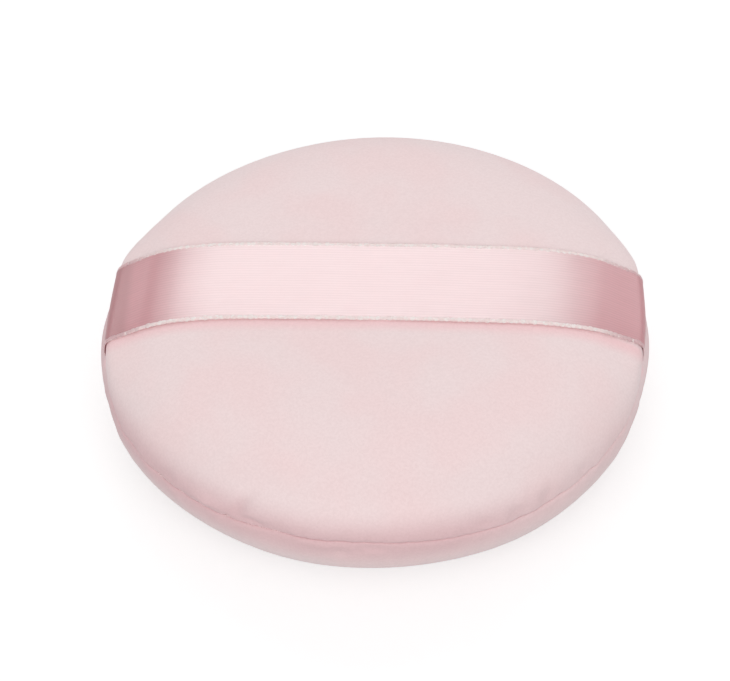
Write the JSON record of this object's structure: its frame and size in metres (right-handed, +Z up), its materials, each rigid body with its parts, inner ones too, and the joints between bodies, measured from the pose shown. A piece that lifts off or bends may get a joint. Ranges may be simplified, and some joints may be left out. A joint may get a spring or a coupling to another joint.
{
  "type": "powder puff",
  "caption": "Round soft powder puff in pink velour over a foam core, with a satin ribbon across the top for the fingers.",
  "frame": {"origin": "middle of the flat face that the puff lies on", "axes": "+Z up through the crown, +X along the ribbon, +Y across the ribbon, away from the viewer of the picture"},
  "size_m": [0.0782, 0.0798, 0.0228],
  "materials": {
    "velour": "short cut-pile velour, matt with a soft sheen",
    "satin": "satin weave, glossy along the ribbon, with woven selvedges",
    "foam": "open-cell foam",
    "thread": "twisted sewing thread"
  },
  "bodies": {
    "puff": {"upper_cover": "velour", "lower_cover": "velour", "foam_core": "foam", "seam_needle_thread": "thread", "seam_bobbin_thread": "thread", "closing_thread": "thread", "ribbon_tack_left": "thread", "ribbon_tack_right": "thread"},
    "ribbon": {"ribbon_band": "satin"}
  },
  "joints": [
    {"name": "ribbon_lift", "type": "slide", "parent": "puff", "child": "ribbon", "axis": [0, 0, 1], "range_m": [0, 0.008], "deforming": ["ribbon_band"]}
  ]
}
